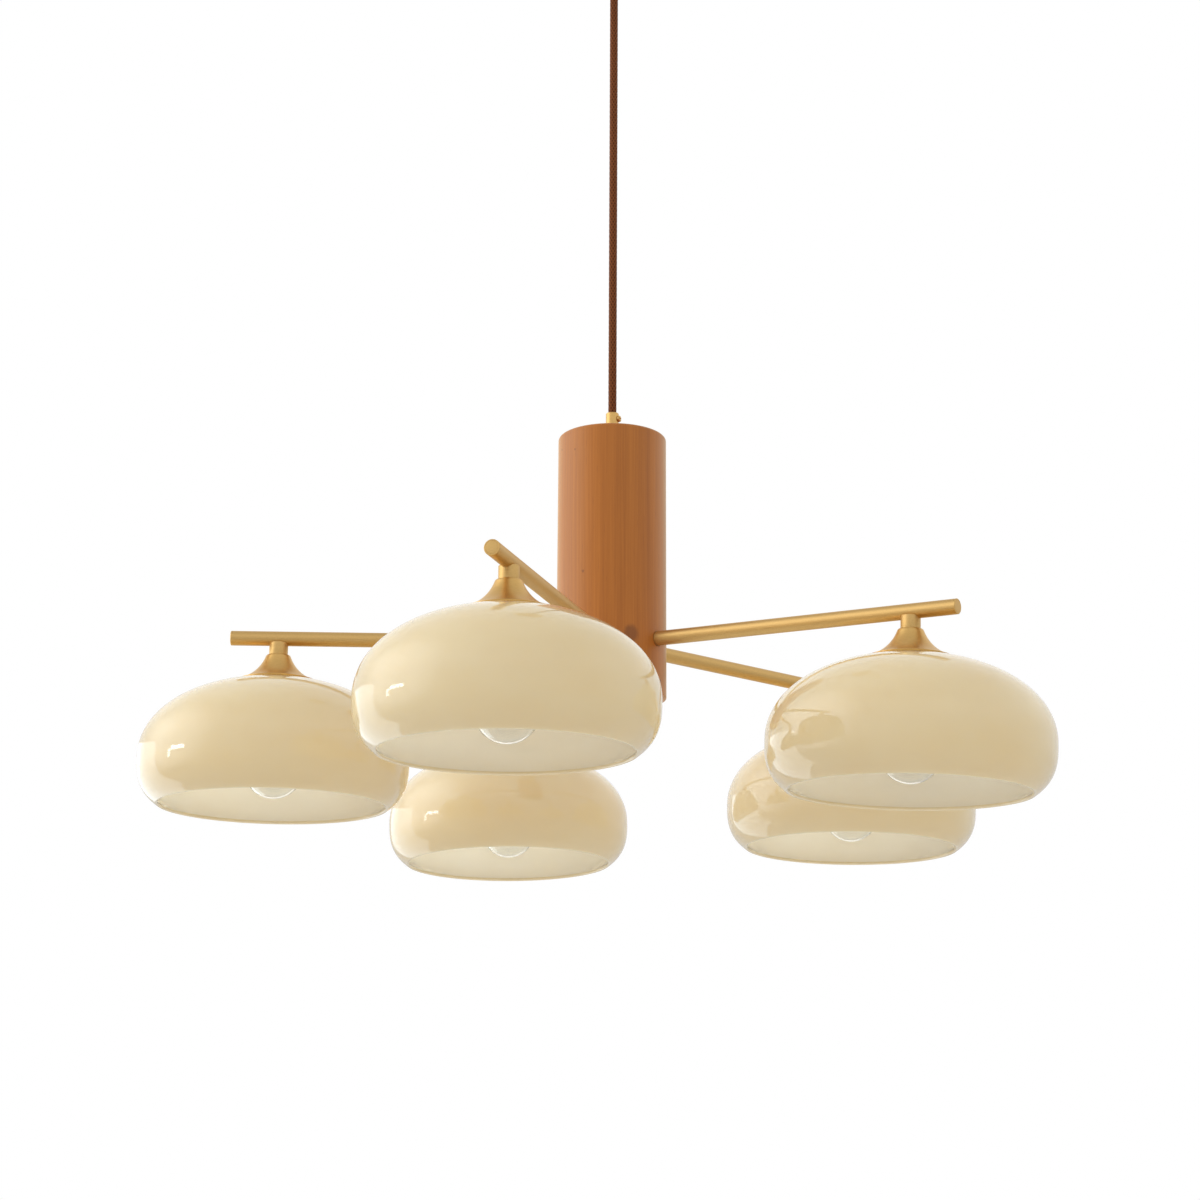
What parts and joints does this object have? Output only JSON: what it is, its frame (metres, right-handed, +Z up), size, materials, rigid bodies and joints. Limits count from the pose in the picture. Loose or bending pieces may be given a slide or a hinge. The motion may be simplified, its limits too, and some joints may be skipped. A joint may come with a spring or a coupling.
{
  "type": "multi arm chandelier",
  "caption": "Pendant chandelier: turned wooden hub on a textile cord, straight brass arms with opal glass shades hung below their tips.",
  "frame": {"origin": "centre of the ceiling bracket's screw pattern, on the ceiling plane", "axes": "+Z up, away from the room and along the cord; -X along one of the arms"},
  "size_m": [0.6505, 0.6714, 0.7436],
  "materials": {
    "satin_brass": "brushed satin, clear lacquered",
    "bright_brass": "turned, satin",
    "zinc_steel": "zinc plated",
    "hub_wood": "oiled, fine straight grain along the axis",
    "opal_glass": "glossy cased opal, cream outside and white inside",
    "clear_glass": "clear, glossy",
    "white_plastic": "heat-proof moulding",
    "nickel_cap": "nickel plated, rolled",
    "textile_cord": "braided textile sleeve, dark reddish brown",
    "wire_sleeve": "insulated wire"
  },
  "bodies": {
    "root": {"ceiling_bracket": "zinc_steel", "ceiling_canopy": "satin_brass", "canopy_screws": "bright_brass", "canopy_grip": "bright_brass", "canopy_nut": "zinc_steel", "terminal_block": "white_plastic", "canopy_tail": "textile_cord"},
    "cord": {"cord": "textile_cord"},
    "grip": {"hub_grip": "bright_brass", "hub_grip_screw": "bright_brass"},
    "lamp": {"hub_body": "hub_wood", "hub_rod": "zinc_steel", "hub_nuts": "zinc_steel", "hub_cover": "satin_brass", "arm_collar": "zinc_steel", "splice_block": "white_plastic", "hub_wiring": "wire_sleeve", "arm_end_plugs": "satin_brass", "shade_rings": "white_plastic", "shade_nipples": "zinc_steel", "arm_tube_1": "satin_brass", "arm_tube_2": "satin_brass", "arm_tube_3": "satin_brass", "arm_tube_4": "satin_brass", "arm_tube_5": "satin_brass", "stem_post_1": "satin_brass", "stem_post_2": "satin_brass", "stem_post_3": "satin_brass", "stem_post_4": "satin_brass", "stem_post_5": "satin_brass", "bell_cap_1": "satin_brass", "bell_cap_2": "satin_brass", "bell_cap_3": "satin_brass", "bell_cap_4": "satin_brass", "bell_cap_5": "satin_brass", "glass_shade_1": "opal_glass", "glass_shade_2": "opal_glass", "glass_shade_3": "opal_glass", "glass_shade_4": "opal_glass", "glass_shade_5": "opal_glass", "lampholder_1": "white_plastic", "lampholder_2": "white_plastic", "lampholder_3": "white_plastic", "lampholder_4": "white_plastic", "lampholder_5": "white_plastic"},
    "bulb_1_contact": {"bulb_contact_1": "nickel_cap"},
    "bulb_2_contact": {"bulb_contact_2": "nickel_cap"},
    "bulb_3_contact": {"bulb_contact_3": "nickel_cap"},
    "bulb_4_contact": {"bulb_contact_4": "nickel_cap"},
    "bulb_5_contact": {"bulb_contact_5": "nickel_cap"},
    "bulb_1": {"bulb_glass_1": "clear_glass", "bulb_cap_1": "nickel_cap"},
    "bulb_2": {"bulb_glass_2": "clear_glass", "bulb_cap_2": "nickel_cap"},
    "bulb_3": {"bulb_glass_3": "clear_glass", "bulb_cap_3": "nickel_cap"},
    "bulb_4": {"bulb_glass_4": "clear_glass", "bulb_cap_4": "nickel_cap"},
    "bulb_5": {"bulb_glass_5": "clear_glass", "bulb_cap_5": "nickel_cap"}
  },
  "joints": [
    {"name": "cord_swing", "type": "hinge", "parent": "root", "child": "cord", "pos_m": [0, 0, -0.046], "axis": [1, 0, 0], "range_deg": [-12, 12]},
    {"name": "lamp_swing", "type": "hinge", "parent": "cord", "child": "grip", "pos_m": [0, 0, -0.421], "axis": [0, 1, 0], "range_deg": [-12, 12]},
    {"name": "lamp_twist", "type": "hinge", "parent": "grip", "child": "lamp", "pos_m": [0, 0, -0.421], "axis": [0, 0, 1], "range_deg": [-90, 90]},
    {"name": "bulb_1_travel", "type": "slide", "parent": "lamp", "child": "bulb_1_contact", "axis": [-0.0184, -0.0133, -0.9997], "range_m": [0, 0.0146]},
    {"name": "bulb_1_turn", "type": "hinge", "parent": "bulb_1_contact", "child": "bulb_1", "pos_m": [0.20039, 0.14559, -0.70835], "axis": [-0.0184, -0.0133, -0.9997], "range_deg": [0, 1440]},
    {"name": "bulb_2_travel", "type": "slide", "parent": "lamp", "child": "bulb_2_contact", "axis": [0.0113, -0.0349, -0.9993], "range_m": [0, 0.0146]},
    {"name": "bulb_2_turn", "type": "hinge", "parent": "bulb_2_contact", "child": "bulb_2", "pos_m": [-0.07608, 0.23417, -0.71179], "axis": [0.0113, -0.0349, -0.9993], "range_deg": [0, 1440]},
    {"name": "bulb_3_travel", "type": "slide", "parent": "lamp", "child": "bulb_3_contact", "axis": [0, 0, -1], "range_m": [0, 0.0146]},
    {"name": "bulb_3_turn", "type": "hinge", "parent": "bulb_3_contact", "child": "bulb_3", "pos_m": [-0.25, 0, -0.7027], "axis": [0, 0, -1], "range_deg": [0, 1440]},
    {"name": "bulb_4_travel", "type": "slide", "parent": "lamp", "child": "bulb_4_contact", "axis": [0.0022, 0.0066, -1], "range_m": [0, 0.0146]},
    {"name": "bulb_4_turn", "type": "hinge", "parent": "bulb_4_contact", "child": "bulb_4", "pos_m": [-0.07704, -0.2371, -0.70444], "axis": [0.0022, 0.0066, -1], "range_deg": [0, 1440]},
    {"name": "bulb_5_travel", "type": "slide", "parent": "lamp", "child": "bulb_5_contact", "axis": [-0.0282, 0.0205, -0.9994], "range_m": [0, 0.0146]},
    {"name": "bulb_5_turn", "type": "hinge", "parent": "bulb_5_contact", "child": "bulb_5", "pos_m": [0.19934, -0.14483, -0.71137], "axis": [-0.0282, 0.0205, -0.9994], "range_deg": [0, 1440]}
  ],
  "couplings": [
    {"joint": "bulb_1_travel", "follows": "bulb_1_turn", "m_per_rad": 0.00057773},
    {"joint": "bulb_2_travel", "follows": "bulb_2_turn", "m_per_rad": 0.00057773},
    {"joint": "bulb_3_travel", "follows": "bulb_3_turn", "m_per_rad": 0.00057773},
    {"joint": "bulb_4_travel", "follows": "bulb_4_turn", "m_per_rad": 0.00057773},
    {"joint": "bulb_5_travel", "follows": "bulb_5_turn", "m_per_rad": 0.00057773}
  ]
}
